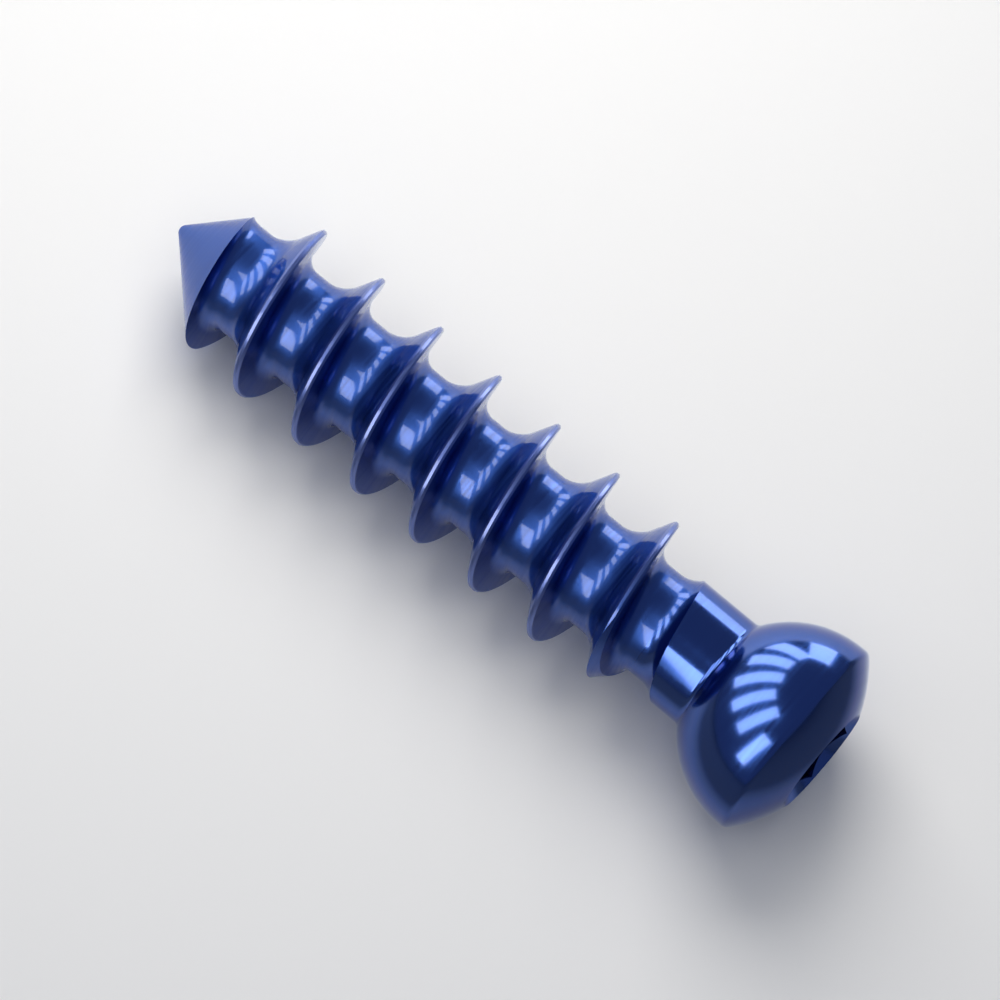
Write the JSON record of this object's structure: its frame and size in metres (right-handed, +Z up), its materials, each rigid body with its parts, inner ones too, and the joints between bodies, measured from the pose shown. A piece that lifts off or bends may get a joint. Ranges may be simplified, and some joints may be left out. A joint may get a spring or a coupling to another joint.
{
  "type": "cancellous bone screw",
  "caption": "Fully threaded cancellous bone screw with deep buttress thread, conical tip, plain neck and ball-seat head with a hexagon socket",
  "frame": {"origin": "centre of the footprint of the screw's bounding box, on the surface the screw lies on", "axes": "+X runs along the lying screw from its tip to its head, +Z is up, and +Y follows by the right hand"},
  "size_m": [0.03, 0.008, 0.008],
  "materials": {
    "anodised_titanium": "blue anodised titanium alloy, polished satin"
  },
  "bodies": {
    "root": {"cancellous_screw": "anodised_titanium"}
  },
  "joints": []
}
